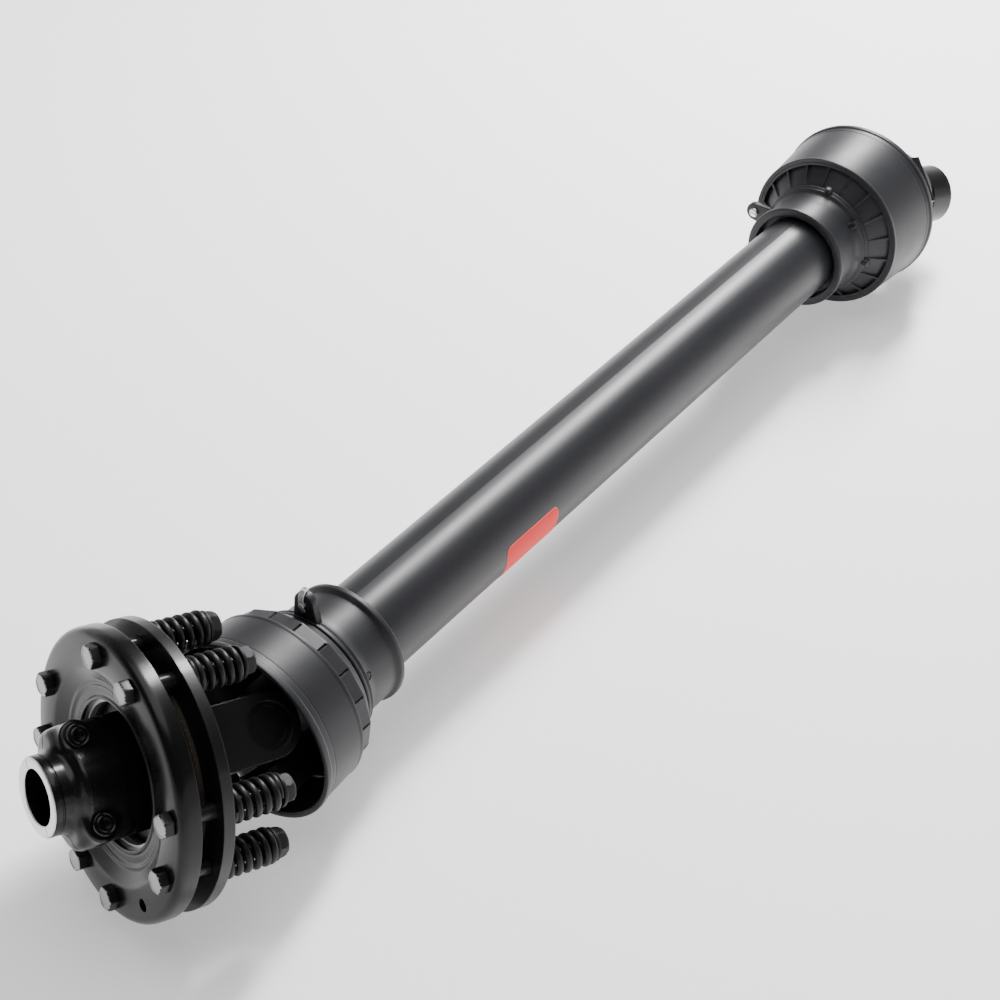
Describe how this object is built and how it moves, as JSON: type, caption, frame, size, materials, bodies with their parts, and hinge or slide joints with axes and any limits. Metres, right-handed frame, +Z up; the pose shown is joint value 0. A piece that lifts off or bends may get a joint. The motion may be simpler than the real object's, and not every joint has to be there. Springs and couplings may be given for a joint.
{
  "type": "universal joint shaft",
  "caption": "Telescoping guarded drive shaft with a universal joint at each end, a spring-loaded slip clutch with clamp hub, and a quick-release splined yoke.",
  "frame": {"origin": "centre of the clutch hub's bore mouth, where the implement shaft enters", "axes": "+X along the shaft tubes from the clutch towards the tractor yoke, +Z up, +Y to the side; both universal joints rest bent as a Z, so the hub and tractor yoke are parallel"},
  "size_m": [1.0656, 0.1923, 0.1896],
  "materials": {
    "gloss_black": "gloss black stove enamel on pressed and cast steel",
    "yoke_black": "satin black enamel on forged steel",
    "zinc_steel": "zinc-plated steel",
    "spring_black": "black spring steel",
    "nut_black": "black oxide steel",
    "bearing_steel": "ground bearing steel",
    "tube_steel": "greased bare steel",
    "friction_lining": "moulded friction lining",
    "bronze": "sintered bronze",
    "guard_plastic": "satin dark grey polyethylene",
    "bearing_nylon": "nylon",
    "seal_rubber": "nitrile rubber",
    "label_red": "blank red film label"
  },
  "bodies": {
    "outer_driveline": {"near_inner_yoke": "yoke_black", "near_roll_pin": "zinc_steel", "near_inner_cups": "yoke_black", "near_inner_snap_rings": "spring_black", "outer_drive_tube": "tube_steel"},
    "near_cross": {"near_cross": "bearing_steel", "near_cross_seals": "seal_rubber", "near_grease_nipple": "zinc_steel"},
    "clutch_pack": {"clutch_cover": "gloss_black", "flange_yoke": "yoke_black", "front_lining": "friction_lining", "pressure_ring": "tube_steel", "rear_lining": "friction_lining", "pilot_bush": "bronze", "clutch_bolts": "nut_black", "clutch_springs": "spring_black", "clutch_nuts": "nut_black", "near_outer_cups": "yoke_black", "near_outer_snap_rings": "spring_black"},
    "clutch_hub": {"clutch_hub": "gloss_black", "hub_clamp_cap": "gloss_black", "clamp_bolts": "nut_black", "clamp_nuts": "nut_black"},
    "inner_driveline": {"inner_drive_tube": "tube_steel", "far_inner_yoke": "yoke_black", "far_roll_pin": "zinc_steel", "far_inner_cups": "yoke_black", "far_inner_snap_rings": "spring_black"},
    "far_cross": {"far_cross": "bearing_steel", "far_cross_seals": "seal_rubber", "far_grease_nipple": "zinc_steel"},
    "tractor_yoke": {"tractor_yoke": "yoke_black", "lock_balls": "bearing_steel", "lock_spring": "zinc_steel", "far_outer_cups": "yoke_black", "far_outer_snap_rings": "spring_black"},
    "lock_collar": {"lock_collar": "yoke_black"},
    "outer_guard": {"near_bearing_ring": "bearing_nylon", "near_guard_collar": "guard_plastic", "near_cone_base": "guard_plastic", "near_guard_cone": "guard_plastic", "near_tab_screw": "zinc_steel", "outer_guard_tube": "guard_plastic", "guard_label": "label_red"},
    "inner_guard": {"far_bearing_ring": "bearing_nylon", "far_guard_collar": "guard_plastic", "far_cone_base": "guard_plastic", "far_guard_cone": "guard_plastic", "far_tab_screw": "zinc_steel", "inner_guard_tube": "guard_plastic"}
  },
  "joints": [
    {"name": "near_pivot", "type": "hinge", "parent": "outer_driveline", "child": "near_cross", "pos_m": [0.12658, -0.04343, -0.0279], "axis": [0, 0.7141, 0.7], "range_deg": [-10, 19.5]},
    {"name": "flange_pivot", "type": "hinge", "parent": "near_cross", "child": "clutch_pack", "pos_m": [0.12658, -0.04343, -0.0279], "axis": [-0.0825, -0.6977, 0.7117], "range_deg": [-3, 46]},
    {"name": "clutch_slip", "type": "hinge", "parent": "clutch_pack", "child": "clutch_hub", "pos_m": [0.12658, -0.04343, -0.0279], "axis": [-0.926, 0.3177, 0.2041], "continuous": true},
    {"name": "telescope", "type": "slide", "parent": "outer_driveline", "child": "inner_driveline", "axis": [1, 0, 0], "range_m": [0, 0.25]},
    {"name": "far_pivot", "type": "hinge", "parent": "inner_driveline", "child": "far_cross", "pos_m": [0.95458, -0.04343, -0.0279], "axis": [0, 0.7141, 0.7], "range_deg": [-15, 24]},
    {"name": "tractor_pivot", "type": "hinge", "parent": "far_cross", "child": "tractor_yoke", "pos_m": [0.95458, -0.04343, -0.0279], "axis": [-0.0825, -0.6977, 0.7117], "range_deg": [-8, 51]},
    {"name": "lock_slide", "type": "slide", "parent": "tractor_yoke", "child": "lock_collar", "axis": [-0.926, 0.3177, 0.2041], "range_m": [0, 0.006], "stiffness_N_per_m": 1500, "springref_m": -0.004},
    {"name": "outer_guard_spin", "type": "hinge", "parent": "outer_driveline", "child": "outer_guard", "pos_m": [0.12658, -0.04343, -0.0279], "axis": [1, 0, 0], "continuous": true},
    {"name": "inner_guard_spin", "type": "hinge", "parent": "inner_driveline", "child": "inner_guard", "pos_m": [0.95458, -0.04343, -0.0279], "axis": [1, 0, 0], "continuous": true}
  ]
}
